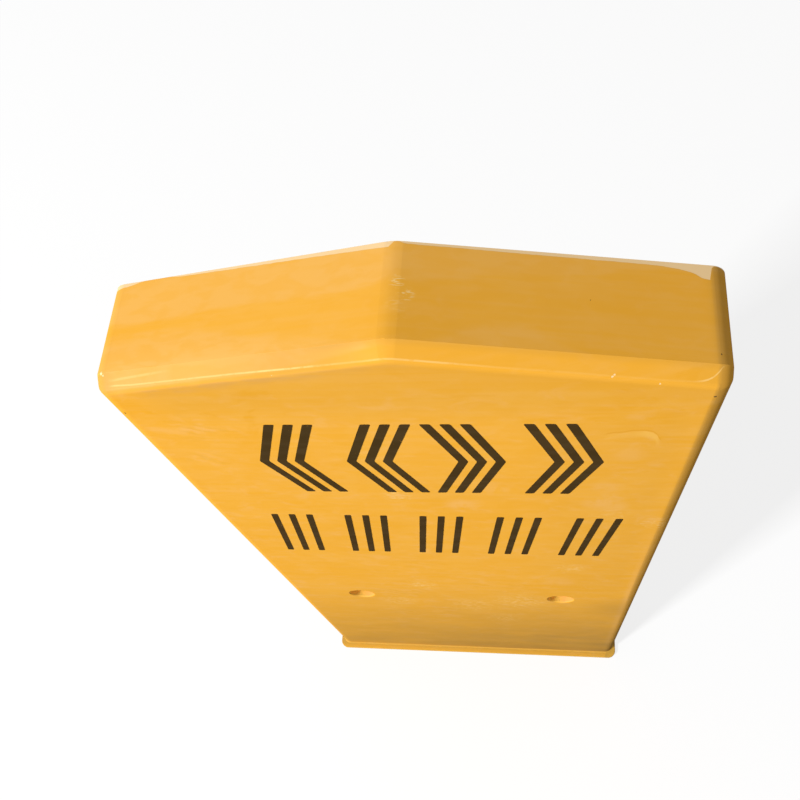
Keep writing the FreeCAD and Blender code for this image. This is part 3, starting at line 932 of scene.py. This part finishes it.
def clear_coat(shader, weight, roughness):
    """A thin clear coat on a body without a gloss of its own."""
    shader.inputs["Specular IOR Level"].default_value = 0.0
    shader.inputs["Coat Weight"].default_value = weight
    shader.inputs["Coat IOR"].default_value = COAT_IOR
    shader.inputs["Coat Roughness"].default_value = roughness


print("coat IOR", COAT_IOR)

# %% [markdown]
# Roughness follows the same masks as the colour: chalk, the dark film and bare laminate are duller
# than the gloss. Shallow waves and a very fine peel disturb the reflections, as on any moulding that
# was laid up by hand, and the ground strip lies a trace lower than the gelcoat beside it.

# %% Roughness and bump of the gelcoat
GELCOAT_ROUGHNESS = 0.26
CHALK_ROUGHENS = 0.06
DARK_FILM_ROUGHENS = 0.5
BARE_ROUGHENS = 0.5
WAVE_HEIGHT = 0.8
PEEL_HEIGHT = 0.010
STRIP_DEPTH = 0.10
STRAND_HEIGHT = 0.35


def gelcoat_roughness(tree, chalk, dark_film, dull):
    """Rougher where the surface is chalky, under the dark film or bared."""
    rough = calc(tree, "MULTIPLY_ADD", chalk, CHALK_ROUGHENS, GELCOAT_ROUGHNESS)
    rough = calc(tree, "MULTIPLY_ADD", dark_film, DARK_FILM_ROUGHENS, rough)
    return calc(tree, "MULTIPLY_ADD", dull, BARE_ROUGHENS, rough, clamp=True)


def gelcoat_bump(tree, place, bare, strands):
    """Slow waves, a fine peel, the sunken ground strip and the raised strands."""
    waves = cloud(tree, place, 14.0, 2.0)
    peel = cloud(tree, place, 420.0, 2.0)
    height = calc(tree, "MULTIPLY_ADD", waves, WAVE_HEIGHT, calc(tree, "MULTIPLY", peel, PEEL_HEIGHT))
    height = calc(tree, "MULTIPLY_ADD", bare, -STRIP_DEPTH, height)
    height = calc(tree, "MULTIPLY_ADD", strands, STRAND_HEIGHT, height)
    bump = node(tree, "ShaderNodeBump", {"Height": height, "Strength": 0.5, "Distance": 1.0 * MM})
    return bump.outputs["Normal"]


print("gelcoat roughness from", GELCOAT_ROUGHNESS)

# %% [markdown]
# The recipe is put together here. The same material goes on the tray and on the panel, so that the
# ground strip runs over the seam without a break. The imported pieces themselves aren't touched: only
# their material slots get the new finish.

# %% The gelcoat material
GELCOAT_COAT = 0.03
GELCOAT_COAT_ROUGHNESS = 0.40


def gelcoat_material(name):
    """The whole finish of the tray and the panel."""
    material, tree, shader, place = new_material(name)
    x, y, z = node(tree, "ShaderNodeSeparateXYZ", {"Vector": place}).outputs
    part = parts_of_post(tree, x, y, z)
    chalk = both(tree, roof_bands(tree, place, x, y), part["roof"])
    # The dark film: darker low down, and painted shade at the edges, on the bevel and in the corners.
    dark_film = dark_films(tree, place, x, y, z, part["roof"])
    chafe = chafed(tree, place)
    bare = calc(tree, "MAXIMUM", ground_strip(tree, x, y, z), spots_of(tree, place, CHIPS))
    inside = bare_inside(tree, x, y, z)
    strand_colour, strands = laminate_colour(tree, place)

    colour = gelcoat_layers(tree, place, x, y, z, part, chalk)
    colour = used_layers(tree, place, x, y, z, part, dark_film, colour)
    colour = wear_and_highlight_layers(tree, place, x, y, z, part, chafe, colour)
    colour = cover(tree, bare, colour, LAMINATE)
    colour = cover(tree, inside, colour, strand_colour)
    connect(tree, shader.inputs["Base Color"], colour)

    dull = calc(tree, "MAXIMUM", calc(tree, "MAXIMUM", bare, inside), chafe)
    connect(tree, shader.inputs["Roughness"], gelcoat_roughness(tree, chalk, dark_film, dull))
    raised = both(tree, inside, strands)
    connect(tree, shader.inputs["Normal"], gelcoat_bump(tree, place, bare, raised))
    clear_coat(shader, GELCOAT_COAT, GELCOAT_COAT_ROUGHNESS)
    return material


gelcoat = gelcoat_material("gelcoat")
for piece in (shell, panel):
    piece.data.materials.clear()
    piece.data.materials.append(gelcoat)
print("gelcoat nodes:", len(gelcoat.node_tree.nodes))

# %% [markdown]
# Two rows of dark paint stand out on the face. They are plain direction marks: four groups of
# chevrons that point away from the middle, and below them five sets of slanted bars. A mask could
# colour them, but its edge blurs from close by. Paint through a stencil is a thin flat layer with
# slightly rounded corners, so each mark is a polygon whose corners are rounded, drawn out to a
# quarter of a millimetre and sunk a little into the wall.

# %% Helpers for painted marks
PAINT_PROUD = 0.25 * MM
PAINT_SUNK = 0.15 * MM
STENCIL_ROUND = 1.6 * MM


def chevron(left, low, width, height, stroke, pointing):
    """The corners of one chevron, in millimetres, pointing right (1) or left (-1)."""
    tip = [(0, height), (stroke, height), (width, height / 2), (stroke, 0), (0, 0),
           (width - stroke, height / 2)]
    if pointing < 0:
        tip = [(width - across, upward) for across, upward in tip]
    return [(left + across, low + upward) for across, upward in tip]


def slanted_bar(left, low, width, height, slant):
    """The corners of one upright bar whose top leans to the right, in millimetres."""
    return [(left, low), (left + width, low), (left + width + slant, low + height),
            (left + slant, low + height)]


def painted(name, outlines, material):
    """One piece of paint on the face, made of several outlines."""
    mesh = bpy.data.meshes.new(name)
    build = bmesh.new()
    for outline in outlines:
        corners = [build.verts.new((x * MM, FRONT - PAINT_PROUD, z * MM)) for x, z in outline]
        flat = build.faces.new(corners)
        bmesh.ops.bevel(build, geom=list(flat.verts), offset=STENCIL_ROUND, segments=3, profile=0.5,
                        affect="VERTICES")
    solid = bmesh.ops.extrude_face_region(build, geom=list(build.faces))
    pushed = [item for item in solid["geom"] if isinstance(item, bmesh.types.BMVert)]
    bmesh.ops.translate(build, verts=pushed, vec=(0, PAINT_PROUD + PAINT_SUNK, 0))
    bmesh.ops.recalc_face_normals(build, faces=list(build.faces))
    build.to_mesh(mesh)
    build.free()
    piece = bpy.data.objects.new(name, mesh)
    bpy.context.scene.collection.objects.link(piece)
    mesh.materials.append(material)
    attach(piece, "root")
    return piece


print("paint stands", PAINT_PROUD * 1000, "mm proud")

# %% [markdown]
# The paint is a brown-black that has dried half matt. It has faded a little and has lost pinholes and
# bits of its edges, where the gelcoat shows through. A mask of fine noise with a high limit leaves
# only such small spots.

# %% Marking paint
PAINT = (0.057, 0.032, 0.008, 1.0)
PAINT_FADED = (0.070, 0.042, 0.014, 1.0)
LOSS_SHARE = 0.8
PAINT_ROUGHNESS = 0.42
FADING_ROUGHENS = 0.15
PAINT_COAT = 0.025
PAINT_COAT_ROUGHNESS = 0.35


def paint_material(name):
    """Dark paint with small losses."""
    material, tree, shader, place = new_material(name)
    faded = mask(tree, streaks(tree, place, (18.0, 18.0, 60.0), (0.1, 0.0, 0.6)), 0.35, 0.7)
    lost = mask(tree, cloud(tree, place, 210.0, 5.0, 0.7), 0.69, 0.73)
    colour = cover(tree, faded, PAINT, PAINT_FADED)
    colour = cover(tree, calc(tree, "MULTIPLY", lost, LOSS_SHARE), colour, GELCOAT)
    connect(tree, shader.inputs["Base Color"], colour)
    rough = calc(tree, "MULTIPLY_ADD", faded, FADING_ROUGHENS, PAINT_ROUGHNESS)
    connect(tree, shader.inputs["Roughness"], rough)
    clear_coat(shader, PAINT_COAT, PAINT_COAT_ROUGHNESS)
    grain = cloud(tree, place, 900.0, 2.0)
    bump = node(tree, "ShaderNodeBump", {"Height": grain, "Strength": 0.15, "Distance": 0.3 * MM})
    connect(tree, shader.inputs["Normal"], bump.outputs["Normal"])
    return material


paint = paint_material("paint")
print("paint nodes:", len(paint.node_tree.nodes))

# %% [markdown]
# The marks could be typed out one by one, but a group is the same mark moved along by a fixed step.
# Lengths are millimetres, across from the middle of the face and up from the ground. The chevrons are
# tall and narrow, because they are read from above and from close by.

# %% The two rows of marks
CHEVRON_LOW = 787
CHEVRON_HEIGHT = 153
CHEVRON_WIDTH = 36
CHEVRON_STROKE = 9
CHEVRON_PITCH = 17
CHEVRONS_IN_GROUP = 3
CHEVRON_GROUPS = [(-150, -1), (-66, -1), (11, 1), (97, 1)]
BAR_LOW = 587
BAR_HEIGHT = 130
BAR_WIDTH = 7.5
BAR_SLANT = 16
BAR_PITCH = 20
BARS_IN_SET = 3
BAR_SETS = 5
BAR_FIRST = -199
BAR_SET_PITCH = 83.5

marks = []
for number, (left, pointing) in enumerate(CHEVRON_GROUPS, start=1):
    group = [chevron(left + step * CHEVRON_PITCH, CHEVRON_LOW, CHEVRON_WIDTH, CHEVRON_HEIGHT,
                     CHEVRON_STROKE, pointing) for step in range(CHEVRONS_IN_GROUP)]
    marks.append(painted(f"chevron_mark_{number}", group, paint))
for number in range(1, BAR_SETS + 1):
    left = BAR_FIRST + (number - 1) * BAR_SET_PITCH
    bars = [slanted_bar(left + step * BAR_PITCH, BAR_LOW, BAR_WIDTH, BAR_HEIGHT, BAR_SLANT)
            for step in range(BARS_IN_SET)]
    marks.append(painted(f"bar_mark_{number}", bars, paint))
print(len(marks), "marks painted on the face")

# %% [markdown]
# The floor is a plain pale sheet. What the camera and the reflections see of it is near white, and a
# part of it still takes the light, so that the post's shadow stays on it. The light that it throws
# back on the post is kept low, as dark ground would give, because the sides that face away from the
# lamp are deep ochre in the picture.

# %% Floor
FLOOR_HALF = 12.0
FLOOR_SHARE = 0.22
FLOOR_BOUNCE = 0.20


def seen_directly(tree):
    """1 for what the camera, a reflection or a clear material sees, 0 for light that bounces."""
    path = node(tree, "ShaderNodeLightPath").outputs
    seen = calc(tree, "MAXIMUM", path["Is Camera Ray"], path["Is Glossy Ray"])
    return calc(tree, "MAXIMUM", seen, path["Is Transmission Ray"])


floor_mesh = bpy.data.meshes.new("floor")
corners = [(-FLOOR_HALF, -FLOOR_HALF, 0), (FLOOR_HALF, -FLOOR_HALF, 0),
           (FLOOR_HALF, FLOOR_HALF, 0), (-FLOOR_HALF, FLOOR_HALF, 0)]
floor_mesh.from_pydata(corners, [], [(0, 1, 2, 3)])
floor = bpy.data.objects.new("floor", floor_mesh)
bpy.context.scene.collection.objects.link(floor)
floor_material = bpy.data.materials.new("floor_paint")
floor_material.use_nodes = True
floor_tree = floor_material.node_tree
floor_tree.nodes.clear()
directly = seen_directly(floor_tree)
lit = node(floor_tree, "ShaderNodeBsdfDiffuse", {"Color": (FLOOR_BOUNCE,) * 3 + (1.0,)})
lit_seen = node(floor_tree, "ShaderNodeBsdfDiffuse", {"Color": (FLOOR_SHARE,) * 3 + (1.0,)})
white = node(floor_tree, "ShaderNodeEmission", {"Strength": 1.0 - FLOOR_SHARE})
pale = node(floor_tree, "ShaderNodeAddShader", {0: lit_seen.outputs[0], 1: white.outputs[0]})
choice = node(floor_tree, "ShaderNodeMixShader", {
    0: directly, 1: lit.outputs[0], 2: pale.outputs[0]})
node(floor_tree, "ShaderNodeOutputMaterial", {"Surface": choice.outputs[0]})
floor_mesh.materials.append(floor_material)
print("floor", 2 * FLOOR_HALF, "m wide")

# %% [markdown]
# The lit side of each hole, the bright line along the front of the roof and the shade on the right
# slope all say the same of the light: one lamp to the left in front of the post and about 25 degrees
# up, so that it only grazes the right slope. A small lamp gives the shade its firm edge.

# %% Lamp
AIM = Vector((0.0, 0.0, 1.0))
KEY_DIRECTION = Vector((-0.6914, -0.5802, 0.4305)).normalized()
KEY_DISTANCE = 8.0
KEY_SIZE = 1.0
KEY_POWER = 820.0

key_data = bpy.data.lights.new("key_lamp", "AREA")
key_data.size = KEY_SIZE
key_data.energy = KEY_POWER
key = bpy.data.objects.new("key_lamp", key_data)
bpy.context.scene.collection.objects.link(key)
key.location = AIM + KEY_DIRECTION * KEY_DISTANCE
key.rotation_euler = (-KEY_DIRECTION).to_track_quat("-Z", "Y").to_euler()
print("lamp at", [round(value, 2) for value in key.location])

# %% [markdown]
# An even sky fills the rest. The camera and the reflections see it as plain white, and the light that
# it gives is less than that, so that the lamp's side and the shaded side differ as they do outdoors.

# %% Sky
SKY_LIGHT = 0.39
SKY_SEEN = 1.0

world = bpy.data.worlds.new("sky")
world.use_nodes = True
bpy.context.scene.world = world
sky_tree = world.node_tree
sky = sky_tree.nodes["Background"]
sky.inputs["Color"].default_value = (1.0, 1.0, 1.0, 1.0)
strength = calc(sky_tree, "MULTIPLY_ADD", seen_directly(sky_tree), SKY_SEEN - SKY_LIGHT, SKY_LIGHT)
connect(sky_tree, sky.inputs["Strength"], strength)
bpy.context.scene.view_settings.view_transform = "Standard"
print("sky light", SKY_LIGHT)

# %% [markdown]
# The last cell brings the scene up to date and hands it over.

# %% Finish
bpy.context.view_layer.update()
